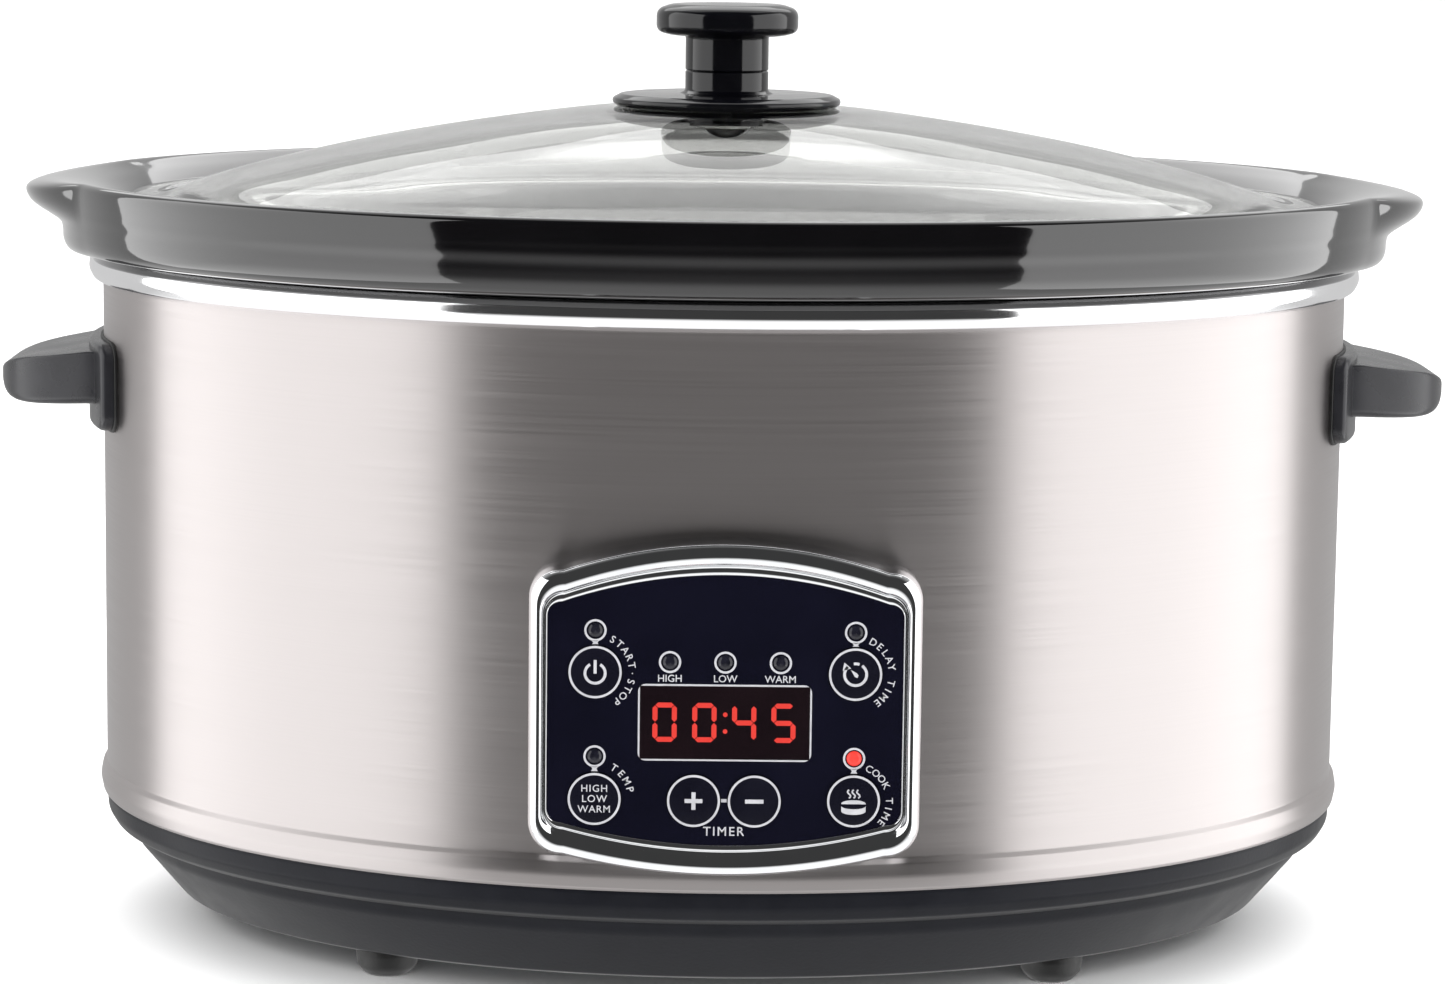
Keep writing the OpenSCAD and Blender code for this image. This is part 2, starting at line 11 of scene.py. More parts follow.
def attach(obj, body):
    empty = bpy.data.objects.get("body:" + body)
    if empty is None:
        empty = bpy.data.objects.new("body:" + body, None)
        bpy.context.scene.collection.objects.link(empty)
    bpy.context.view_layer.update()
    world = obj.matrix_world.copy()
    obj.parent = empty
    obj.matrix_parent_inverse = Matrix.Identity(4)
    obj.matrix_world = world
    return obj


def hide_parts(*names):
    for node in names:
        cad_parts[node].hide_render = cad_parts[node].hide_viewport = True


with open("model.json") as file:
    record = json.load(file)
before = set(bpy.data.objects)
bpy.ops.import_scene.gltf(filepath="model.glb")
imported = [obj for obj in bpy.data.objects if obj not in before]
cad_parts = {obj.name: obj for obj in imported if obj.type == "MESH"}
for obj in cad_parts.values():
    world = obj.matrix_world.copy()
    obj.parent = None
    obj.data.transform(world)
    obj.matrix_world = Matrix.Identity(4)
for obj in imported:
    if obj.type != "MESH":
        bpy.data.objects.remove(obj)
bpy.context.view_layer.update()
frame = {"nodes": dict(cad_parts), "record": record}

# ---------------------------------------------------------------- sizes, in mm, as in the CAD
RX, RY = 185.0, 145.0            # half length and half depth of the steel wall
WALL_LOW, WALL_TOP = 38.0, 191.5
RIM_Z = 222.0                    # top of the crock's rim
SEAT_Z = RIM_Z - 9.6             # ledge that the lid rests on
CROCK_FLOOR = 61.0
DOME_Z = RIM_Z + 21.2            # top of the glass
PANEL_Z = 90.0
FACE_Y = RY + 5                  # front of the fascia is at -FACE_Y
HANDLE_Z = WALL_TOP - 30
BASE_LOW = 8.0
FOOT_X, FOOT_Y = 95.0, 86.0
ROUND = 360                      # sides of the large ovals
BEAD_TOP = WALL_LOW + 10.5       # the rolled bead at the foot of the wall ends here


# ---------------------------------------------------------------- camera
CAMERA_AT = Vector((-0.013, -1.304, 0.318))
CAMERA_YAW, CAMERA_PITCH, CAMERA_ROLL = -0.0101, 0.1453, 0.0118    # in radians
LENS, SENSOR = 108.75, 36

camera = bpy.data.objects.new("camera", bpy.data.cameras.new("camera"))
bpy.context.scene.collection.objects.link(camera)
camera.data.sensor_width = SENSOR
camera.data.lens = LENS
camera.data.clip_start, camera.data.clip_end = 0.05, 200
camera.matrix_world = (Matrix.Translation(CAMERA_AT) @ Matrix.Rotation(CAMERA_YAW, 4, "Z")
                       @ Matrix.Rotation(math.pi / 2 - CAMERA_PITCH, 4, "X")
                       @ Matrix.Rotation(CAMERA_ROLL, 4, "Z"))
bpy.context.scene.camera = camera
bpy.context.scene.view_settings.view_transform = "Standard"


# ---------------------------------------------------------------- materials
def principled(name, color, rough, metal=0.0, **sockets):
    """A material with one Principled shader; sockets are constants by name, with _ for a space."""
    m = bpy.data.materials.new(name)
    m.use_nodes = True
    shader = m.node_tree.nodes["Principled BSDF"]
    shader.inputs["Base Color"].default_value = (*color, 1)
    shader.inputs["Roughness"].default_value = rough
    shader.inputs["Metallic"].default_value = metal
    for key, value in sockets.items():
        shader.inputs[key.replace("_", " ")].default_value = value
    return m, shader


def noise(m, scale, stretch=(1, 1, 1), detail=4.0):
    """A noise pattern fixed to the object, in metres; its output runs from 0 to 1."""
    nodes, links = m.node_tree.nodes, m.node_tree.links
    where = nodes.new("ShaderNodeTexCoord")
    mapping = nodes.new("ShaderNodeMapping")
    mapping.inputs["Scale"].default_value = stretch
    pattern = nodes.new("ShaderNodeTexNoise")
    pattern.inputs["Scale"].default_value = scale
    pattern.inputs["Detail"].default_value = detail
    links.new(where.outputs["Object"], mapping.inputs["Vector"])
    links.new(mapping.outputs["Vector"], pattern.inputs["Vector"])
    return pattern.outputs["Fac"]


def vary(m, shader, pattern, dark, light, rough=None):
    """Colour, and if rough is given roughness, follow a pattern between two ends."""
    nodes, links = m.node_tree.nodes, m.node_tree.links
    ramp = nodes.new("ShaderNodeValToRGB")
    ramp.color_ramp.elements[0].position, ramp.color_ramp.elements[1].position = 0.3, 0.7
    ramp.color_ramp.elements[0].color = (*dark, 1)
    ramp.color_ramp.elements[1].color = (*light, 1)
    links.new(pattern, ramp.inputs["Fac"])
    links.new(ramp.outputs["Color"], shader.inputs["Base Color"])
    if rough:
        span = nodes.new("ShaderNodeMapRange")
        span.inputs["From Min"].default_value, span.inputs["From Max"].default_value = 0.3, 0.7
        span.inputs["To Min"].default_value, span.inputs["To Max"].default_value = rough
        links.new(pattern, span.inputs["Value"])
        links.new(span.outputs["Result"], shader.inputs["Roughness"])


def bump(m, shader, pattern, strength, height):
    """Fine relief from a pattern; height in metres."""
    nodes, links = m.node_tree.nodes, m.node_tree.links
    node = nodes.new("ShaderNodeBump")
    node.inputs["Strength"].default_value = strength
    node.inputs["Distance"].default_value = height
    links.new(pattern, node.inputs["Height"])
    links.new(node.outputs["Normal"], shader.inputs["Normal"])


def plain(name, dark, light, rough, metal=0.0, scale=60, grain=None, stretch=(1, 1, 1), **sockets):
    """A material whose colour and roughness vary softly; grain is (scale, strength, height) of a bump."""
    m, shader = principled(name, light, rough[0], metal, **sockets)
    vary(m, shader, noise(m, scale, stretch), dark, light, rough)
    if grain:
        bump(m, shader, noise(m, grain[0], stretch), grain[1], grain[2])
    return m


BRUSH = (1, 1, 220)              # stretches a pattern into lines that run round the wall
mat = {}
mat["brushed_wall"] = plain("brushed_steel", (0.46, 0.43, 0.425), (0.48, 0.45, 0.444), (0.34, 0.42), 1.0,
                            scale=11, stretch=BRUSH, grain=(14, 0.02, 0.0002),
                            Anisotropic=0.85, Anisotropic_Rotation=0.25)
mat["polished_rim"] = plain("polished_steel", (0.86, 0.86, 0.87), (0.93, 0.93, 0.94), (0.07, 0.13), 1.0,
                            scale=25, grain=(90, 0.02, 0.0003))
mat["bezel_chrome"] = plain("chrome", (0.84, 0.85, 0.87), (0.9, 0.91, 0.92), (0.03, 0.07), 1.0,
                            scale=120, grain=(160, 0.02, 0.0003))
mat["black_glaze"] = plain("black_glaze", (0.0006, 0.0005, 0.0008), (0.0014, 0.0012, 0.0016), (0.05, 0.1),
                           scale=40, grain=(55, 0.05, 0.0006), Coat_Weight=1.0, Coat_Roughness=0.03)
mat["knob_black"] = plain("knob_plastic", (0.001, 0.001, 0.0018), (0.002, 0.002, 0.003), (0.07, 0.12),
                          scale=150, grain=(220, 0.02, 0.0002))
mat["base_black"] = plain("base_plastic", (0.0045, 0.005, 0.0075), (0.007, 0.0075, 0.0105), (0.3, 0.38),
                          scale=90, grain=(900, 0.12, 0.0003), Specular_IOR_Level=0.15)
mat["handle_black"] = plain("handle_plastic", (0.009, 0.009, 0.011), (0.014, 0.014, 0.017), (0.24, 0.32),
                            scale=90, grain=(800, 0.06, 0.0002), Specular_IOR_Level=0.4)
mat["foot_rubber"] = plain("foot_rubber", (0.0015, 0.0015, 0.0015), (0.004, 0.004, 0.004), (0.45, 0.6),
                           scale=200, grain=(700, 0.2, 0.0004))
mat["fascia_black"] = plain("fascia_gloss", (0.0022, 0.0022, 0.006), (0.0032, 0.0032, 0.0085), (0.05, 0.08),
                            scale=50, grain=(60, 0.01, 0.0002))
mat["button_black"] = plain("button_film", (0.0028, 0.0028, 0.0065), (0.0042, 0.0042, 0.009), (0.12, 0.18),
                            scale=90, grain=(120, 0.02, 0.0002))
mat["print"] = plain("printed_ink", (0.33, 0.33, 0.35), (0.4, 0.4, 0.42), (0.35, 0.45), scale=300)
mat["display_smoke"] = plain("display_window", (0.004, 0.002, 0.003), (0.006, 0.003, 0.004), (0.05, 0.08),
                             scale=60)
mat["led_clear"] = plain("led_unlit", (0.003, 0.003, 0.006), (0.008, 0.008, 0.014), (0.1, 0.18), scale=400)
mat["silicone_grey"] = plain("silicone", (0.06, 0.06, 0.065), (0.1, 0.1, 0.105), (0.5, 0.6), scale=200)
mat["zinc_steel"] = plain("zinc_steel", (0.5, 0.5, 0.5), (0.62, 0.62, 0.6), (0.25, 0.38), 1.0,
                          scale=150, grain=(500, 0.05, 0.0002))
mat["brass"] = plain("brass", (0.6, 0.42, 0.16), (0.72, 0.54, 0.24), (0.25, 0.35), 1.0, scale=200)
mat["pot_aluminium"] = plain("pot_aluminium", (0.55, 0.56, 0.57), (0.66, 0.67, 0.68), (0.32, 0.45), 1.0,
                             scale=20, stretch=BRUSH)
mat["heater_mica"] = plain("heater_mica", (0.55, 0.5, 0.38), (0.7, 0.66, 0.52), (0.4, 0.6), scale=120)
mat["glass_fibre"] = plain("glass_fibre", (0.72, 0.7, 0.62), (0.86, 0.84, 0.78), (0.8, 0.95),
                           scale=300, grain=(500, 0.6, 0.002), Sheen_Weight=0.3)
mat["inner_plastic"] = plain("inner_plastic", (0.02, 0.02, 0.022), (0.035, 0.035, 0.04), (0.4, 0.5),
                             scale=120, grain=(600, 0.1, 0.0003))
mat["circuit_board"] = plain("circuit_board", (0.01, 0.13, 0.05), (0.02, 0.2, 0.08), (0.3, 0.45), scale=260)
mat["winding_tape"] = plain("winding_tape", (0.6, 0.42, 0.05), (0.75, 0.56, 0.1), (0.3, 0.4), scale=200)
mat["relay_blue"] = plain("relay_case", (0.01, 0.06, 0.28), (0.02, 0.1, 0.4), (0.3, 0.4), scale=200)
mat["terminal_green"] = plain("terminal_block", (0.02, 0.22, 0.06), (0.04, 0.3, 0.1), (0.35, 0.45), scale=200)
mat["wire_white"] = plain("wire_sleeve", (0.6, 0.6, 0.56), (0.75, 0.75, 0.7), (0.5, 0.6),
                          scale=500, grain=(1500, 0.4, 0.0004))
mat["ribbon_grey"] = plain("ribbon_cable", (0.3, 0.3, 0.31), (0.45, 0.45, 0.46), (0.45, 0.55),
                           scale=160, stretch=(8, 1, 1))


def glowing(name, color, strength):
    """A lit material over a dark base of the same hue."""
    m, shader = principled(name, color, 0.3, Emission_Color=(*color, 1), Emission_Strength=strength)
    vary(m, shader, noise(m, 400), tuple(c * 0.15 for c in color), tuple(c * 0.2 for c in color))
    return m


mat["led_red"] = glowing("led_lit", (0.95, 0.05, 0.035), 0.8)
mat["digits"] = glowing("display_digits", (0.93, 0.045, 0.03), 0.62)

glass, glass_shader = principled("lid_glass", (0.77, 0.775, 0.76), 0.0, IOR=1.1, Transmission_Weight=1.0,
                                 Coat_Weight=0.5, Coat_Roughness=0.0)
vary(glass, glass_shader, noise(glass, 8), (0.76, 0.765, 0.75), (0.78, 0.785, 0.77))
bump(glass, glass_shader, noise(glass, 6, detail=1.0), 0.02, 0.001)
mat["lid_glass"] = glass

floor_material = plain("floor", (0.86, 0.86, 0.86), (0.88, 0.88, 0.88), (0.85, 0.9), scale=0.4)


# ---------------------------------------------------------------- mesh helpers
def loft(rings, cap_start=False, cap_end=False, closed=False):
    """Vertices and faces of a skin through rings of points, all with the same count."""
    n, m = len(rings[0]), len(rings)
    verts = [p for ring in rings for p in ring]
    faces = []
    for j in range(m if closed else m - 1):
        a, b = j * n, ((j + 1) % m) * n
        faces += [(a + i, a + (i + 1) % n, b + (i + 1) % n, b + i) for i in range(n)]
    if cap_start:
        faces.append(tuple(range(n - 1, -1, -1)))
    if cap_end:
        faces.append(tuple((m - 1) * n + i for i in range(n)))
    return verts, faces


def join(*parts):
    """Several (vertices, faces) as one."""
    verts, faces = [], []
    for v, f in parts:
        k = len(verts)
        verts += list(v)
        faces += [tuple(i + k for i in face) for face in f]
    return verts, faces


def tidy_mesh(mesh):
    """Merges points that coincide and turns every face outwards."""
    b = bmesh.new()
    b.from_mesh(mesh)
    bmesh.ops.remove_doubles(b, verts=b.verts, dist=2e-6)
    bmesh.ops.dissolve_degenerate(b, edges=b.edges, dist=1e-7)
    bmesh.ops.recalc_face_normals(b, faces=b.faces)
    b.to_mesh(mesh)
    b.free()


def piece(name, shape, slot, body="housing", stands_for=(), sharp=35, material=None):
    """A mesh in mm that rides on a body."""
    mesh = bpy.data.meshes.new(name)
    mesh.from_pydata([Vector(p) * 0.001 for p in shape[0]], [], shape[1])
    mesh.validate()
    obj = bpy.data.objects.new(name, mesh)
    bpy.context.scene.collection.objects.link(obj)
    tidy_mesh(mesh)
    mesh.shade_smooth()
    mesh.set_sharp_from_angle(angle=math.radians(sharp))
    mesh.materials.append(mat[material or slot])
    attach(obj, body)
    if stands_for:
        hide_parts(*stands_for)
    return obj


def fillet(points, radius, steps=5):
    """A line of 2-D points with each inner corner rounded; radius is one number or one for each point."""
    out = [tuple(points[0])]
    for i in range(1, len(points) - 1):
        r = radius[i] if isinstance(radius, (list, tuple)) else radius
        p = Vector(points[i])
        a, b = Vector(points[i - 1]) - p, Vector(points[i + 1]) - p
        if r <= 0 or a.length < 1e-6 or b.length < 1e-6:
            out.append(tuple(p))
            continue
        angle = a.angle(b)
        cut = min(r / math.tan(angle / 2), a.length * 0.48, b.length * 0.48)
        s, e = p + a.normalized() * cut, p + b.normalized() * cut
        for k in range(steps + 1):
            t = k / steps
            out.append(tuple(s * (1 - t) ** 2 + p * 2 * t * (1 - t) + e * t ** 2))
    out.append(tuple(points[-1]))
    return out


def spline(points, steps=6):
    """A smooth line through points of any dimension."""
    pts = [Vector(p) for p in points]
    out = []
    for i in range(len(pts) - 1):
        p0, p1, p2, p3 = pts[max(i - 1, 0)], pts[i], pts[i + 1], pts[min(i + 2, len(pts) - 1)]
        for k in range(steps):
            t = k / steps
            out.append(0.5 * (2 * p1 + (p2 - p0) * t + (2 * p0 - 5 * p1 + 4 * p2 - p3) * t * t
                              + (3 * p1 - p0 - 3 * p2 + p3) * t ** 3))
    return out + [pts[-1]]


def oval(a, b, z, n=ROUND):
    """A level ring with half length a and half depth b."""
    return [(a * math.cos(2 * math.pi * i / n), b * math.sin(2 * math.pi * i / n), z) for i in range(n)]


def wall_oval(d, z):
    """A level ring at the distance d outside the steel wall."""
    return oval(RX + d, RY + d, z)


def lathe(profile, at=(0, 0, 0), axis="Z", n=96):
    """Turns [radius, height] points round an axis; axis -Y has its height towards the front."""
    rings = []
    for r, h in profile:
        ring = [(r * math.cos(2 * math.pi * i / n), r * math.sin(2 * math.pi * i / n), h) for i in range(n)]
        if axis == "-Y":
            ring = [(x, -z, y) for x, y, z in ring]
        rings.append([(x + at[0], y + at[1], z + at[2]) for x, y, z in ring])
    return loft(rings)


# ---------------------------------------------------------------- lid
lid_outer = spline([(176.5, 136.5, SEAT_Z + 0.35), (177.5, 137.5, SEAT_Z + 1.4), (177.9, 137.9, SEAT_Z + 2.4),
                    (177.3, 137.3, SEAT_Z + 3.6), (175.6, 135.8, SEAT_Z + 4.4), (172.5, 132.8, SEAT_Z + 4.5),
                    (169, 129.5, SEAT_Z + 4.3), (165.5, 126.6, SEAT_Z + 4.9), (157, 119.5, SEAT_Z + 7.6),
                    (140, 106.5, SEAT_Z + 12.6), (112, 86.5, SEAT_Z + 19.2), (84, 66.5, SEAT_Z + 24.4),
                    (56, 48, SEAT_Z + 28.6), (36, 34, DOME_Z), (18, 17.5, DOME_Z + 0.2),
                    (2.6, 2.6, DOME_Z + 0.2)], 5)
lid_inner = spline([(2.6, 2.6, DOME_Z - 4.2), (18, 17.5, DOME_Z - 4.2), (34, 33, DOME_Z - 4.4),
                    (54, 46.5, SEAT_Z + 24.4), (82, 65, SEAT_Z + 20.2), (110, 85, SEAT_Z + 15),
                    (138, 105, SEAT_Z + 8.4), (155, 118, SEAT_Z + 3.4), (164, 125.5, SEAT_Z + 1.2),
                    (168, 129, SEAT_Z + 0.35), (173, 133.5, SEAT_Z + 0.3)], 5)
piece("lid_glass_dome", loft([oval(a, b, z, 256) for a, b, z in lid_outer + lid_inner], closed=True),
      "lid_glass", "lid", ["lid_glass"], sharp=60)

SEAM_Z, CAP_LOW = DOME_Z + 10.8, DOME_Z + 21.6
cap = fillet([(3.5, SEAM_Z + 0.15), (12.1, SEAM_Z + 0.15), (12.4, SEAM_Z + 0.45), (12.4, CAP_LOW + 0.2),
              (17, CAP_LOW - 0.3), (21.1, CAP_LOW + 0.8), (21.1, CAP_LOW + 7.4), (16.5, CAP_LOW + 8.9),
              (0.01, CAP_LOW + 9.3)],
             [0, 0.2, 0.2, 1.6, 3, 4.6, 4.4, 9, 0], 7)
piece("knob_cap_smooth", lathe(cap + [(0.01, SEAM_Z + 13), (3.5, SEAM_Z + 13), (3.5, SEAM_Z + 0.15)]),
      "knob_black", "lid", ["knob_cap"])
collar = fillet([(2.4, DOME_Z + 0.3), (32.6, DOME_Z + 0.3), (34, DOME_Z + 1.2), (34, DOME_Z + 2.6),
                 (31.5, DOME_Z + 3.9), (14.0, DOME_Z + 4.1), (12.4, DOME_Z + 5.0), (12.4, SEAM_Z - 0.3),
                 (12.1, SEAM_Z), (2.4, SEAM_Z)],
                [0, 0.4, 1.2, 1.6, 2.4, 1.4, 1.2, 0.2, 0.2, 0], 7)
piece("knob_collar_smooth", lathe(collar + [(2.4, DOME_Z + 0.3)]), "knob_black", "lid", ["knob_collar"])


# ---------------------------------------------------------------- crock
LUG_HALF = 0.33                  # sine of the angle at which a lug starts


def lug_weight(t):
    """1 at the two ends of the crock, falling to 0 where its lugs start."""
    s = min(1.0, abs(math.sin(t)) / LUG_HALF)
    return (1 - s ** 2.3) ** 1.15 if s < 1 else 0.0


def crock_ring(d, z, lug=0.0, drop=0.0):
    """One ring of the crock; lug is how far it reaches out at the two ends, drop how much it sinks there."""
    ring = []
    for i in range(ROUND):
        t = 2 * math.pi * i / ROUND
        w = lug_weight(t)
        ring.append(((RX + d + lug * w) * math.cos(t), (RY + d) * math.sin(t), z - drop * w))
    return ring


# each row: distance from the wall's oval, height, reach of the lugs, drop of the lugs
crock_rows = [(-60, CROCK_FLOOR, 0), (-52, CROCK_FLOOR, 0), (-44, CROCK_FLOOR + 2.5, 0),
              (-37, CROCK_FLOOR + 9, 0), (-32, CROCK_FLOOR + 24, 0), (-22, RIM_Z - 24, 0),
              (-20.5, RIM_Z - 20.8, 0), (-17, RIM_Z - 19.5, 0), (-3, RIM_Z - 19.5, 0), (0, RIM_Z - 21.2, 0),
              (5, RIM_Z - 21.6, 0.4, 0.6), (8, RIM_Z - 21.1, 1, 0.8), (9.7, RIM_Z - 19.6, 1.2, 0.8),
              (10.5, RIM_Z - 17.4, 1.2, 0.7), (10.9, RIM_Z - 14.8, 0.9, 0.6), (11.2, RIM_Z - 12.2, 1.4, 0.9),
              (11.6, RIM_Z - 9.8, 4.2, 1.4), (11.8, RIM_Z - 7.8, 7.2, 1.7), (12, RIM_Z - 5.6, 9.6, 1.9),
              (12.1, RIM_Z - 3.2, 10.8, 1.9), (11.9, RIM_Z - 1.4, 10.6, 1.9), (11, RIM_Z - 0.3, 9, 1.7),
              (9.8, RIM_Z, 7, 1.3), (8.2, RIM_Z - 0.35, 4.6, 0.8), (5.5, RIM_Z - 1.6, 1.8, 0.3),
              (2, RIM_Z - 3.4, 0.4), (-1.4, RIM_Z - 5.6, 0),
              (-3.8, RIM_Z - 7.6, 0), (-4.8, SEAT_Z + 0.5, 0), (-6.4, SEAT_Z, 0), (-22, SEAT_Z, 0),
              (-24.6, SEAT_Z - 0.5, 0), (-26, SEAT_Z - 2.6, 0), (-29, RIM_Z - 22, 0),
              (-39, CROCK_FLOOR + 34, 0), (-43, CROCK_FLOOR + 19, 0), (-52, CROCK_FLOOR + 9.6, 0),
              (-66, CROCK_FLOOR + 7.5, 0), (-100, CROCK_FLOOR + 7.3, 0), (-140, CROCK_FLOOR + 7.3, 0)]
crock_rings = [crock_ring(max(p[0], -144.0), *p[1:])
               for p in spline([row + (0,) * (4 - len(row)) for row in crock_rows], 4)]
piece("crock_body", loft(crock_rings, cap_start=True, cap_end=True),
      "black_glaze", "crock", ["crock"], sharp=50)


# ---------------------------------------------------------------- wall, rim and base
WINDOW = (46.6, PANEL_Z - 35.75, PANEL_Z + 35.75)    # half width, low and top of the opening in the wall
bead = fillet([(0.3, WALL_LOW), (1.2, WALL_LOW + 0.9), (1.9, WALL_LOW + 4.4), (1.2, WALL_LOW + 7.9),
               (0.0, WALL_LOW + 9.2), (0.0, WALL_LOW + 13)], [0, 1, 4.2, 1.2, 0.8, 0], 5)
levels = (WINDOW[1], 72.0, PANEL_Z, 108.0, WINDOW[2], 148.0, 170.0, WALL_TOP)
wall_rows = [(0.0, WALL_LOW)] + bead + [(0.0, z) for z in levels]


def wall_shape():
    """The steel wall with its window behind the panel, and its thickness."""
    front = [wall_oval(d, z) for d, z in wall_rows]
    back = [wall_oval(-0.6, z) for d, z in wall_rows]
    n, m = ROUND, len(wall_rows)
    verts = [p for ring in front + back for p in ring]

    def open_face(i, j):
        cells = [wall_oval(0, 0)[k % n] for k in (i, i + 1)]
        inside = all(abs(c[0]) <= WINDOW[0] and c[1] < 0 for c in cells)
        return inside and wall_rows[j][1] >= WINDOW[1] - 0.01 and wall_rows[j + 1][1] <= WINDOW[2] + 0.01

    gap = {(i, j) for j in range(m - 1) for i in range(n) if wall_rows[j][1] > BEAD_TOP and open_face(i, j)}
    faces = []
    for j in range(m - 1):
        for i in range(n):
            if (i, j) in gap:
                continue
            k = (i + 1) % n
            a = (j * n + i, j * n + k, (j + 1) * n + k, (j + 1) * n + i)
            b = tuple(v + m * n for v in a)
            faces += [a, b[::-1]]
            for di, dj, u, v in ((0, -1, 0, 1), (1, 0, 1, 2), (0, 1, 2, 3), (-1, 0, 3, 0)):
                other = ((i + di) % n, j + dj)
                if other in gap or not 0 <= other[1] < m - 1:
                    faces.append((a[v], a[u], b[u], b[v]))
    return verts, faces


piece("steel_wall", wall_shape(), "brushed_wall", "housing", ["outer_wrap"], sharp=30)

rim_profile = fillet([(-0.15, WALL_TOP - 0.1), (0.7, WALL_TOP - 0.1), (2.9, WALL_TOP + 0.9),
                      (4.2, WALL_TOP + 3.6), (3.9, WALL_TOP + 6.2), (2.0, WALL_TOP + 8.4),
                      (-0.5, WALL_TOP + 9), (-8.6, WALL_TOP + 9), (-9, WALL_TOP + 8.6),
                      (-9, WALL_TOP + 2.1), (-0.15, WALL_TOP + 2.1)],
                     [0, 0.3, 2, 3.4, 2.6, 3, 1.5, 0.3, 0.3, 0.2, 0], 6)
piece("polished_band", loft([wall_oval(d, z) for d, z in rim_profile], closed=True),
      "polished_rim", "housing", ["top_rim"], sharp=40)

STEP_Z = WALL_LOW - 10
base_profile = fillet([(-102, BASE_LOW), (-24, BASE_LOW), (-21.3, BASE_LOW + 1), (-8.7, BASE_LOW + 16),
                       (-7.2, STEP_Z - 0.3), (-5.4, STEP_Z), (-2.2, STEP_Z + 1.8), (-0.3, STEP_Z + 5),
                       (0, WALL_LOW - 1), (-0.2, WALL_LOW - 0.05), (-3, WALL_LOW - 0.05), (-3, WALL_LOW - 3),
                       (-8.5, STEP_Z + 2), (-12, BASE_LOW + 17), (-26, BASE_LOW + 3), (-102, BASE_LOW + 3)],
                      [0, 3, 2.4, 9, 0.35, 0.4, 2.6, 4, 0.5, 0.2, 0.2, 0.5, 2, 8, 1, 0], 5)
piece("base_tub", loft([wall_oval(d, z) for d, z in base_profile], closed=True),
      "base_black", "housing", ["base_shell"], sharp=28)

foot_profile = fillet([(0.01, 0.9), (3, 0.9), (3.2, 0), (6.2, 0), (8.4, 2.4), (9, 6), (9, BASE_LOW),
                       (0.01, BASE_LOW)],
                      [0, 0.2, 0.3, 2.4, 3, 3, 0, 0], 6)
for fy, depth in ((-1, "front"), (1, "rear")):
    for fx, side in ((-1, "left"), (1, "right")):
        piece(f"rubber_foot_{depth}_{side}", lathe(foot_profile, (fx * FOOT_X, fy * FOOT_Y, 0), n=64),
              "foot_rubber", "housing", [f"foot_{depth}_{side}"])


# ---------------------------------------------------------------- handles
def wall_x(y, d=0.0):
    """How far the wall, moved out by d, is from the middle at a depth y."""
    return (RX + d) * math.sqrt(max(0.0, 1 - (y / (RY + d)) ** 2))


def rounded_rect(hx, hy, r, n=8):
    """Outline of a rectangle with half sizes hx and hy and round corners."""
    r = max(0.0, min(r, hx, hy))
    out = []
    for k, (sx, sy) in enumerate([(1, 1), (-1, 1), (-1, -1), (1, -1)]):
        for i in range(n + 1):
            a = math.pi / 2 * (k + i / n)
            out.append((sx * (hx - r) + r * math.cos(a), sy * (hy - r) + r * math.sin(a)))
    return out


def dense(outline):
    """The closed outline with its long straight runs divided, so that it can follow the wall."""
    out = []
    for i, p in enumerate(outline):
        q = outline[(i + 1) % len(outline)]
        run = math.dist(p, q)
        k = 24 if run > 30 else 10 if run > 8 else 1
        out += [(p[0] + (q[0] - p[0]) * j / k, p[1] + (q[1] - p[1]) * j / k) for j in range(k)]
    return out


def on_wall(outline, side, d, z_mid):
    """Lays (along, up) points on the wall, d out from it."""
    ring = []
    for u, v in outline:
        t = math.asin(max(-1, min(1, u / RY)))
        ring.append((side * (RX + d) * math.cos(t), (RY + d) * math.sin(t), z_mid + v))
    return ring


def plate_shape(side, hy, hz, z_mid, corner, d_low, d_top, edge):
    """A pad on the wall with a rounded edge."""
    base = dense(rounded_rect(hy, hz, corner))
    rings = [on_wall(base, side, d_low, z_mid)]
    for k in range(7):
        a = math.pi / 2 * k / 6
        e = edge * (1 - math.cos(a))
        ring = [(u * (hy - e) / hy, v * (hz - e) / hz) for u, v in base]
        rings.append(on_wall(ring, side, d_top - edge + edge * math.sin(a), z_mid))
    for s in (0.7, 0.4, 0.15, 0.0):
        f = (hz - edge) / hz * s
        ring = [(math.copysign(max(0.0, abs(u) * (hy - edge) / hy - (hz - edge) * (1 - s)), u), v * f)
                for u, v in base]
        rings.append(on_wall(ring, side, d_top, z_mid))
    return loft(rings, cap_start=True)


GRIP_OUT, GRIP_HALF = 31.0, 36.0    # reach from the wall, and half length along it


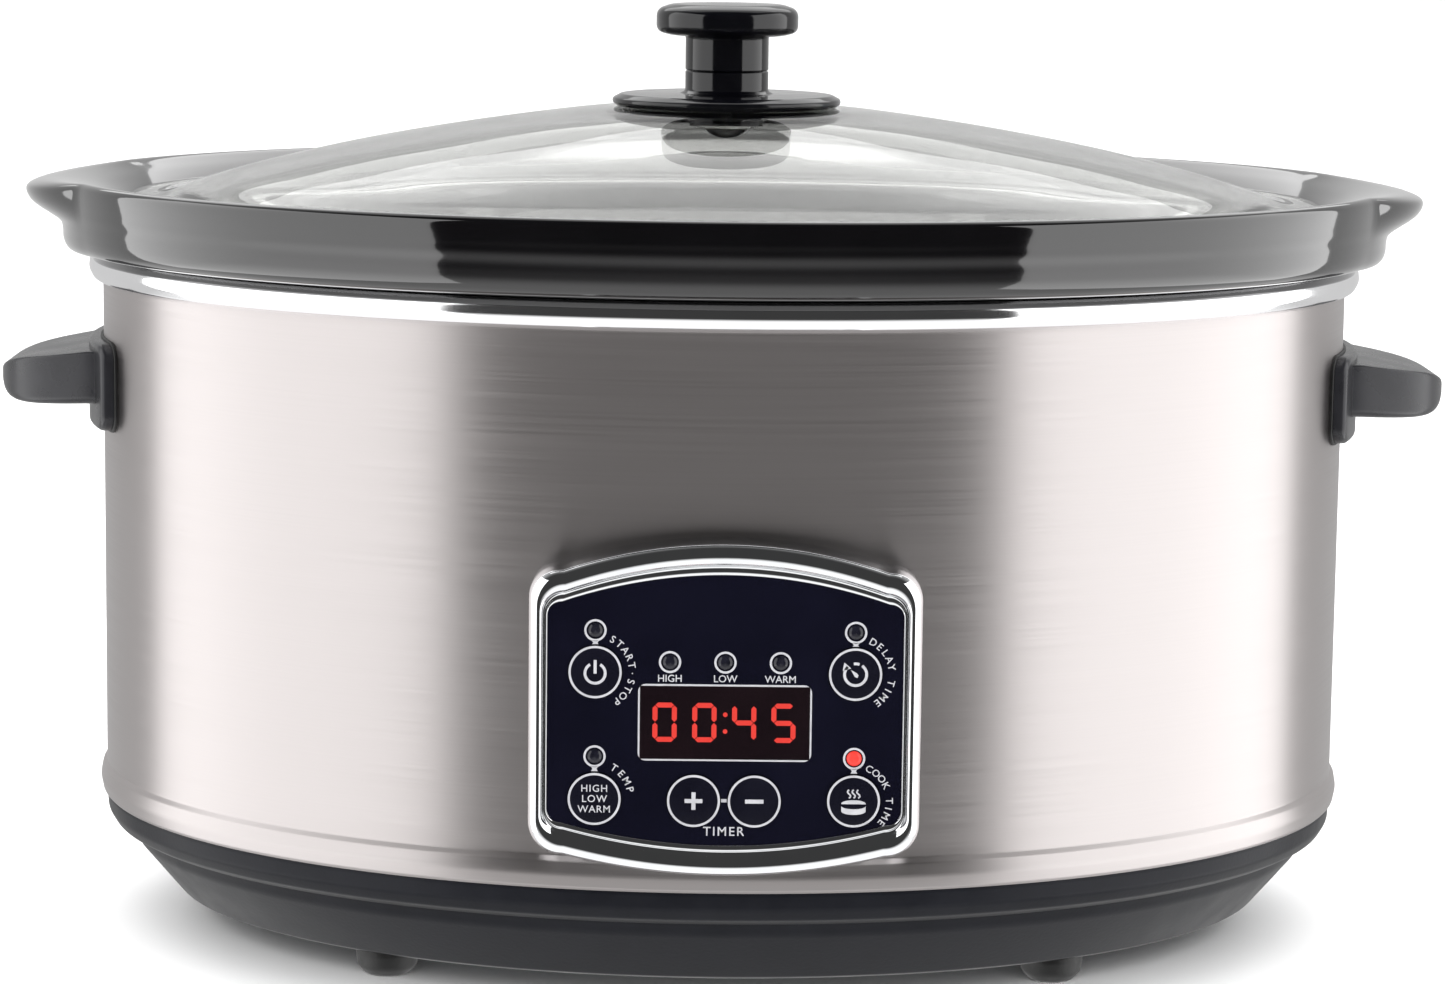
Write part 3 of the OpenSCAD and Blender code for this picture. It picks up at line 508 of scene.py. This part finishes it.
def grip_shape(side):
    """The grip: rounded sections across X that close at the tip."""
    rings = []
    count = 40
    for k in range(count + 1):
        a = math.pi / 2 * k / count
        x = RX - 10 + (GRIP_OUT + 10) * math.sin(a)
        half = GRIP_HALF * max(math.cos(a), 0.004)
        u = max(0.0, min(1.0, (x - RX - 2) / (GRIP_OUT - 2)))
        close = max(1 - u ** 7, 1e-5) ** (1 / 2.1)
        top = 0.2 + (10.2 - 4.4 * u - 0.2) * close
        low = 0.2 + (-5.4 - 1.9 * u - 0.2) * close
        r_top, r_low = min(0.9, half * 0.5, (top - low) * 0.3), min(2.6, half * 0.6, (top - low) * 0.45)
        ring = []
        corners = ((half - r_top, top - r_top, r_top, 0), (-half + r_top, top - r_top, r_top, 1),
                   (-half + r_low, low + r_low, r_low, 2), (half - r_low, low + r_low, r_low, 3))
        for cy, cz, r, start in corners:
            for i in range(7):
                b = math.pi / 2 * (start + i / 6)
                ring.append((cy + r * math.cos(b), cz + r * math.sin(b)))
            if start in (0, 2):      # divides the long runs across the grip
                nxt = (-half + r_top, top) if start == 0 else (half - r_low, low)
                last = ring[-1]
                ring += [(last[0] + (nxt[0] - last[0]) * j / 12, last[1] + (nxt[1] - last[1]) * j / 12)
                         for j in range(1, 12)]
        rings.append([(side * max(x, wall_x(y, 3.0)), y, HANDLE_Z + z) for y, z in ring])
    return loft(rings, cap_start=True, cap_end=True)


for side, word in ((-1, "left"), (1, "right")):
    pad = plate_shape(side, 43, 12.7, HANDLE_Z + 0.3, 5, 0.9, 4.4, 1.6)
    piece(f"grip_{word}", join(pad, grip_shape(side)), "handle_black", "housing", [f"handle_{word}"],
          sharp=40)
    seal = plate_shape(side, 44, 13.3, HANDLE_Z + 0.3, 5.5, 0.0, 0.9, 0.4)
    piece(f"grip_seal_{word}", seal, "silicone_grey", "housing", [f"handle_gasket_{word}"],
          material="foot_rubber")


# ---------------------------------------------------------------- panel
def arch(hw, top, bottom, sag_t, sag_b, r, n=14):
    """Outline of the panel, as in the CAD, with more points."""
    w = hw - r
    turn = [math.pi / 2 * i / n for i in range(n + 1)]
    inner = range(1, 2 * n)
    return ([(w + r * math.sin(a), bottom + sag_b + r - r * math.cos(a)) for a in turn]
            + [(w + r * math.cos(a), top - sag_t - r + r * math.sin(a)) for a in turn]
            + [(w * (1 - i / n), top - sag_t * (1 - i / n) ** 2) for i in inner]
            + [(-w - r * math.sin(a), top - sag_t - r + r * math.cos(a)) for a in turn]
            + [(-w - r * math.cos(a), bottom + sag_b + r - r * math.sin(a)) for a in turn]
            + [(w * (i / n - 1), bottom + sag_b * (i / n - 1) ** 2) for i in inner])


# each row: the arguments of arch up to the corner radius, then the distance to the front
BEZEL = [(53, 46.25, -46.25, 7.5, 5.6, 9, 147.2), (52.9, 46.0, -46.15, 7.5, 5.6, 9, 148.6),
         (52.5, 45.3, -45.7, 7.5, 5.6, 8.8, 150.2), (51.8, 44.2, -44.9, 7.5, 5.6, 8.4, 151.5),
         (51.0, 43.0, -43.9, 7.5, 5.6, 7.8, 152.2), (50.3, 41.8, -42.8, 7.5, 5.7, 7.2, 152.4),
         (49.6, 40.6, -41.6, 7.5, 5.8, 6.6, 152.1), (49.1, 39.6, -40.5, 7.55, 5.9, 6.0, 151.3),
         (48.8, 38.9, -39.7, 7.6, 6.0, 5.5, 150.6), (48.6, 38.4, -39.2, 7.6, 6.0, 5.2, 150.5),
         (48.4, 37.9, -38.7, 7.6, 6.0, 4.8, 150.75), (48.1, 37.2, -38.0, 7.6, 6.0, 4.4, 150.7),
         (48.0, 36.65, -37.45, 7.6, 6.0, 4.0, 150.35), (48.0, 36.65, -37.45, 7.6, 6.0, 4.0, 150.02)]


def bezel_shape():
    """The chrome frame: its back follows the wall and the bead, its front is flat."""
    back = []
    for x, v in arch(*BEZEL[0][:6]):
        y = RY * math.sqrt(1 - (x / RX) ** 2) - 0.4 + (1.9 if PANEL_Z + v < BEAD_TOP else 0.0)
        back.append((x, -y, PANEL_Z + v))
    rings = [back]
    for row in spline(BEZEL, 3):
        outline = arch(*row[:6])
        rings.append([(x, -row[6], PANEL_Z + v) for x, v in outline])
    rings.append([(x * 0.96, -149.0, PANEL_Z + v * 1.02) for x, v in arch(*BEZEL[-1][:6])])
    return loft(rings, closed=True)


piece("chrome_bezel", bezel_shape(), "bezel_chrome", "housing", ["panel_bezel"], sharp=50)


# ---------------------------------------------------------------- printed marks, keys and lights
def flat(points, front, thick=0.12):
    """A flat closed outline on the panel as a thin plate; front is its distance along -Y."""
    return loft([[(x, -(front - thick), PANEL_Z + v) for x, v in points],
                 [(x, -front, PANEL_Z + v) for x, v in points]], cap_start=True, cap_end=True)


def ring_mark(cx, cv, r_out, width, front, start=0.0, sweep=360.0, thick=0.12, n=72):
    """A ring or part of one."""
    full = sweep >= 360
    count = n if full else max(8, int(n * sweep / 360)) + 1
    angles = [math.radians(start + sweep * i / (count if full else count - 1)) for i in range(count)]
    rings = []
    for a in angles:
        c, s = math.cos(a), math.sin(a)
        rings.append([(cx + r * c, -y, PANEL_Z + cv + r * s)
                      for r, y in ((r_out, front - thick), (r_out, front),
                                   (r_out - width, front), (r_out - width, front - thick))])
    return loft(rings, cap_start=not full, cap_end=not full, closed=full)


def bar(x0, v0, x1, v1, width, front, thick=0.12):
    """A straight printed line between two points of the panel."""
    dx, dv = x1 - x0, v1 - v0
    k = width / 2 / math.hypot(dx, dv)
    return flat([(x0 + dv * k, v0 - dx * k), (x1 + dv * k, v1 - dx * k),
                 (x1 - dv * k, v1 + dx * k), (x0 - dv * k, v0 + dx * k)], front, thick)


def letters(word, cx, cv, size, front, turn=0.0, spread=1.0, thick=0.12):
    """Upright lettering centred at a point of the panel, turned by an angle in degrees."""
    curve = bpy.data.curves.new("letters", "FONT")
    curve.body, curve.size, curve.space_character = word, size, spread
    curve.align_x, curve.align_y = "CENTER", "CENTER"
    curve.extrude, curve.resolution_u, curve.offset = thick / 2, 3, size * 0.006
    holder = bpy.data.objects.new("letters", curve)
    bpy.context.scene.collection.objects.link(holder)
    mesh = bpy.data.meshes.new_from_object(holder)
    verts = [tuple(v.co) for v in mesh.vertices]
    faces = [tuple(f.vertices) for f in mesh.polygons]
    bpy.data.objects.remove(holder)
    bpy.data.curves.remove(curve)
    bpy.data.meshes.remove(mesh)
    c, s = math.cos(math.radians(turn)), math.sin(math.radians(turn))
    return [(cx + x * c - y * s, -(front - thick / 2 + z), PANEL_Z + cv + x * s + y * c)
            for x, y, z in verts], faces


def arc_letters(word, cx, cv, radius, first, last, size, front):
    """Letters set round a circle from one angle to another, tops outwards."""
    parts = []
    for i, ch in enumerate(word):
        if ch == " ":
            continue
        a = first + (last - first) * i / (len(word) - 1)
        x, v = cx + radius * math.cos(math.radians(a)), cv + radius * math.sin(math.radians(a))
        parts.append(letters(ch, x, v, size, front, a - 90))
    return join(*parts)


# places on the panel, from its middle
KEY_X, UPPER, LOWER = 35.0, 10.0, -24.8
TIMER_X, TIMER_V = 8.2, LOWER - 0.3    # the plus and minus keys
LED_UP, LED_MODE, LED_LOW, MODE_X = 21.3, 12.8, -13.2, 14.9
KEYS = {"start_stop": (-KEY_X, UPPER), "delay": (KEY_X, UPPER),
        "temp": (-KEY_X, LOWER), "cook": (KEY_X, LOWER),
        "plus": (-TIMER_X, TIMER_V), "minus": (TIMER_X, TIMER_V)}
LIGHTS = [(-KEY_X, LED_UP), (KEY_X, LED_UP), (-KEY_X, LED_LOW),
          (-MODE_X, LED_MODE), (0, LED_MODE), (MODE_X, LED_MODE)]
LIT = (KEY_X, LED_LOW)
INK_F = FACE_Y + 0.06            # front of the ink on the fascia
INK_K = FACE_Y + 0.86            # front of the ink on a key
WINDOW_V = -3.7                  # middle of the display

marks = [ring_mark(x, v, 3.0, 0.58, INK_F) for x, v in LIGHTS + [LIT]]
for x, v, key_v in ((-KEY_X, LED_UP, UPPER), (KEY_X, LED_UP, UPPER),
                    (-KEY_X, LED_LOW, LOWER), (KEY_X, LED_LOW, LOWER)):
    marks.append(flat([(x - 1.0, v - 2.8), (x + 1.0, v - 2.8), (x + 0.55, v - 3.4),
                       (x + 0.9, key_v + 7.5), (x - 0.9, key_v + 7.5), (x - 0.55, v - 3.4)], INK_F))
marks.append(bar(-0.75, TIMER_V, 0.75, TIMER_V, 0.9, INK_F))
frame_rings = []
for hx, hy, r, y in ((23.4, 10.5, 2.1, INK_F - 0.12), (23.4, 10.5, 2.1, INK_F + 0.12),
                     (22.8, 9.9, 1.6, INK_F + 0.12), (22.8, 9.9, 1.6, INK_F - 0.12)):
    frame_rings.append([(x, -y, PANEL_Z + WINDOW_V + v) for x, v in rounded_rect(hx, hy, r)])
marks.append(loft(frame_rings, closed=True))
for word, x in (("HIGH", -MODE_X), ("LOW", 0), ("WARM", MODE_X)):
    marks.append(letters(word, x, 8.25, 2.75, INK_F))
marks.append(letters("TIMER", 0, -33.7, 3.5, INK_F, spread=1.22))
marks.append(arc_letters("START·STOP", -KEY_X, UPPER, 9.9, 62, -54, 2.8, INK_F))
marks.append(arc_letters("DELAY TIME", KEY_X, UPPER, 9.8, 62, -52, 2.8, INK_F))
marks.append(arc_letters("TEMP", -KEY_X, LOWER, 9.9, 58, 15, 2.8, INK_F))
marks.append(arc_letters("COOK TIME", KEY_X, LOWER, 9.6, 65, -38, 2.75, INK_F))
piece("panel_marks", join(*marks), "led_clear", "housing", material="print")

icons = {
    "start_stop": [ring_mark(0, -0.3, 3.1, 0.75, INK_K, 120, 300), bar(0, 3.3, 0, -0.4, 0.8, INK_K)],
    "delay": [ring_mark(0, 0, 3.35, 0.75, INK_K, 135, 280),
              flat([(-3.5, 1.0), (-1.2, 1.7), (-3.1, 3.3)], INK_K),
              flat([(0.5, -0.9), (-0.2, -0.6), (-1.3, 1.3), (0.3, 0.4), (0.8, -0.2)], INK_K),
              ring_mark(0, 0, 3.35, 0.75, INK_K, 70, 30)],
    "temp": [letters("HIGH", 0, 2.85, 2.75, INK_K, spread=1.15),
             letters("LOW", 0, 0, 2.75, INK_K, spread=1.15),
             letters("WARM", 0, -2.85, 2.75, INK_K, spread=1.1)],
    "cook": [],
    "plus": [bar(-2.4, 0, 2.4, 0, 1.1, INK_K), bar(0, -2.4, 0, 2.4, 1.1, INK_K + 0.01)],
    "minus": [bar(-2.5, 0, 2.5, 0, 1.1, INK_K)],
}
POT = (3.3, 0.95)                # half width of the pot on the cook key, and half height of its mouth
half_turn = [math.pi * i / 12 for i in range(13)]
for k in (-1, 0, 1):             # three curls of steam
    rise = [i * 0.3 for i in range(9)]
    wave = [(1.25 * k + 0.45 * math.sin(2.6 * s), 0.9 + 2.3 * s / 2.4) for s in rise]
    icons["cook"] += [bar(*wave[i], *wave[i + 1], 0.42, INK_K + 0.004 * i) for i in range(8)]
mouth = [(POT[0] * math.cos(a), -0.6 + POT[1] * math.sin(a)) for a in half_turn]
icons["cook"].append(flat([(POT[0], -0.75), *mouth, (-POT[0], -0.75)], INK_K))
foot_arc = [(-POT[0] * math.cos(a), -2.7 - math.sin(a)) for a in half_turn]
lip_arc = [(POT[0] * math.cos(a), -1.25 - 0.9 * math.sin(a)) for a in half_turn]
icons["cook"].append(flat(foot_arc + lip_arc, INK_K))

key_profile = fillet([(0.01, 0.8), (6.9, 0.8), (7.2, 0.5), (7.2, -2.35), (7.8, -2.35), (7.8, -3.2),
                      (0.01, -3.2)],
                     [0, 0.3, 0.3, 0, 0.1, 0.1, 0], 4)
for key, (x, v) in KEYS.items():
    piece(f"key_{key}", lathe(key_profile, (x, -FACE_Y, PANEL_Z + v), "-Y"), "button_black",
          f"button_{key}", [f"button_{key}"])
    marks = [ring_mark(0, 0, 7.15, 0.6, INK_K)] + icons[key]
    marks = [([(px + x, py, pz + v) for px, py, pz in shape[0]], shape[1]) for shape in marks]
    piece(f"key_marks_{key}", join(*marks), "led_clear", f"button_{key}", material="print")


def lens(x, v):
    """The domed window of one indicator lamp."""
    profile = fillet([(0.01, 0.75), (1.2, 0.6), (2.05, 0.1), (2.05, -2.2), (0.01, -2.2)],
                     [0, 1, 0.6, 0, 0], 4)
    return lathe(profile, (x, -FACE_Y, PANEL_Z + v), "-Y", n=40)


piece("lenses_unlit", join(*[lens(x, v) for x, v in LIGHTS]), "led_clear", "housing", ["led_lenses"])
piece("lens_lit", lens(*LIT), "led_red", "housing", ["led_lens_cook"])

# ---------------------------------------------------------------- seven-segment digits
DIGIT_W, DIGIT_H, STROKE = 5.2, 9.4, 1.35    # between the middles of the strokes
SEGMENTS = {"a": (0, 2, 1, 2), "b": (1, 2, 1, 1), "c": (1, 1, 1, 0), "d": (0, 0, 1, 0),
            "e": (0, 1, 0, 0), "f": (0, 2, 0, 1), "g": (0, 1, 1, 1)}
SHAPES = {"0": "abcdef", "4": "bcfg", "5": "acdfg"}


def segment(cx, cv, code, front):
    """One lit bar with pointed ends."""
    x0, y0, x1, y1 = SEGMENTS[code]
    a = Vector((cx + (x0 - 0.5) * DIGIT_W, cv + (y0 - 1) * DIGIT_H / 2))
    b = Vector((cx + (x1 - 0.5) * DIGIT_W, cv + (y1 - 1) * DIGIT_H / 2))
    along = (b - a).normalized()
    across = Vector((-along.y, along.x)) * STROKE / 2
    a, b = a + along * 0.12, b - along * 0.12
    tip = along * STROKE / 2
    points = [a, a + tip + across, b - tip + across, b, b - tip - across, a + tip - across]
    return flat([tuple(p) for p in points], front, 0.1)


DIGIT_F = FACE_Y + 0.4           # front of the lit bars
digits = [segment(x, WINDOW_V + 0.1, code, DIGIT_F)
          for figure, x in (("0", -16.2), ("0", -5.5), ("4", 5.2), ("5", 15.8)) for code in SHAPES[figure]]
for v in (-1.0, 1.0):            # the two dots of the colon
    turn = [2 * math.pi * i / 20 for i in range(20)]
    points = [(0.1 + 0.62 * math.cos(a), WINDOW_V + 2.3 * v + 0.62 * math.sin(a)) for a in turn]
    digits.append(flat(points, DIGIT_F, 0.1))
piece("display_figures", join(*digits), "led_red", "housing", material="digits")

# ---------------------------------------------------------------- finish of the CAD nodes that stay
SLOT_OF = {s["node"]: s["material_slot"] for s in frame["record"]["subparts"]}
for name, node in frame["nodes"].items():
    if node.hide_render:
        continue
    slot = SLOT_OF[name]
    node.data.materials.clear()
    node.data.materials.append(mat[slot])

# ---------------------------------------------------------------- floor and light
bpy.ops.mesh.primitive_plane_add(size=60)
table = bpy.context.object
table.name = "floor"
table.visible_glossy = False    # polished faces show the lamps and not the table
table.data.materials.append(floor_material)


def softbox(name, at, aim, width, height, radiance, diffuse=True, glossy=True):
    """A soft rectangular lamp; radiance is the brightness of its face."""
    lamp = bpy.data.lights.new(name, "AREA")
    lamp.shape, lamp.size, lamp.size_y = "RECTANGLE", width, height
    lamp.energy = radiance * math.pi * width * height
    obj = bpy.data.objects.new(name, lamp)
    bpy.context.scene.collection.objects.link(obj)
    obj.location = at
    obj.rotation_euler = (Vector(aim) - Vector(at)).to_track_quat("-Z", "Y").to_euler()
    obj.visible_camera = False
    obj.visible_diffuse, obj.visible_glossy = diffuse, glossy
    return obj


SIDE_AWAY, SIDE_Z = 1.15, 0.25   # distance and height of the two lamps that light the wall
for s, angle, radiance in ((-1, 75.5, 1.8), (1, 77, 2.0)):
    a = math.radians(angle)
    place = (s * SIDE_AWAY * math.sin(a), -SIDE_AWAY * math.cos(a), SIDE_Z)
    softbox(f"side_{s}", place, (0, 0, SIDE_Z), 1.6, 1.9, radiance, diffuse=False)
softbox("top_back", (0, 1.5, 1.75), (0, 0, 0.2), 3.2, 1.4, 1.3, diffuse=False)
softbox("overhead", (0, 0.4, 1.7), (0, 0.05, 0.1), 2.0, 1.2, 0.7)
softbox("ceiling", (0, 0.0, 2.3), (0, 0, 0), 4, 4, 1.4, glossy=False)
softbox("backdrop", (0, 6.5, 4.5), (0, 4.0, 0), 12, 6, 2.2, glossy=False)
for name, x, y in (("backdrop_front", 0, -1), ("backdrop_left", -1, 0), ("backdrop_right", 1, 0)):
    softbox(name, (6.5 * x, 6.5 * y, 4.5), (5 * x, 5 * y, 0), 12, 6, 1.5, glossy=False)
softbox("fill", (0, -1.7, 0.5), (0, -0.2, 0), 3.6, 0.9, 3.0, glossy=False)

# the world: white to the camera; to reflections dark in front, pale behind and bright below
FRONT_GLOW, BACK_GLOW, GROUND_GLOW, SEEN_GLOW = 0.045, 0.65, 1.15, 0.92
world = bpy.data.worlds.new("studio")
bpy.context.scene.world = world
world.use_nodes = True
wn, wl = world.node_tree.nodes, world.node_tree.links


def smooth_range(socket, start, end, low, high):
    """The value of a socket, taken smoothly from start..end to low..high."""
    span = wn.new("ShaderNodeMapRange")
    span.interpolation_type = "SMOOTHSTEP"
    span.inputs["From Min"].default_value, span.inputs["From Max"].default_value = start, end
    span.inputs["To Min"].default_value, span.inputs["To Max"].default_value = low, high
    wl.new(socket, span.inputs["Value"])
    return span.outputs["Result"]


where = wn.new("ShaderNodeTexCoord")
split = wn.new("ShaderNodeSeparateXYZ")
wl.new(where.outputs["Generated"], split.inputs["Vector"])
downward = wn.new("ShaderNodeMath")
downward.operation = "MULTIPLY"
downward.inputs[1].default_value = -1.0
wl.new(split.outputs["Z"], downward.inputs[0])
brighter = wn.new("ShaderNodeMath")
brighter.operation = "MAXIMUM"
wl.new(smooth_range(split.outputs["Y"], -0.35, 0.45, FRONT_GLOW, BACK_GLOW), brighter.inputs[0])
wl.new(smooth_range(downward.outputs["Value"], 0.2, 0.65, 0.0, GROUND_GLOW), brighter.inputs[1])
path = wn.new("ShaderNodeLightPath")
pick = wn.new("ShaderNodeMix")
pick.data_type = "FLOAT"
wl.new(path.outputs["Is Camera Ray"], pick.inputs["Factor"])
wl.new(brighter.outputs["Value"], pick.inputs["A"])
pick.inputs["B"].default_value = SEEN_GLOW
background = wn["Background"]
background.inputs["Color"].default_value = (1, 1, 1, 1)
wl.new(pick.outputs["Result"], background.inputs["Strength"])
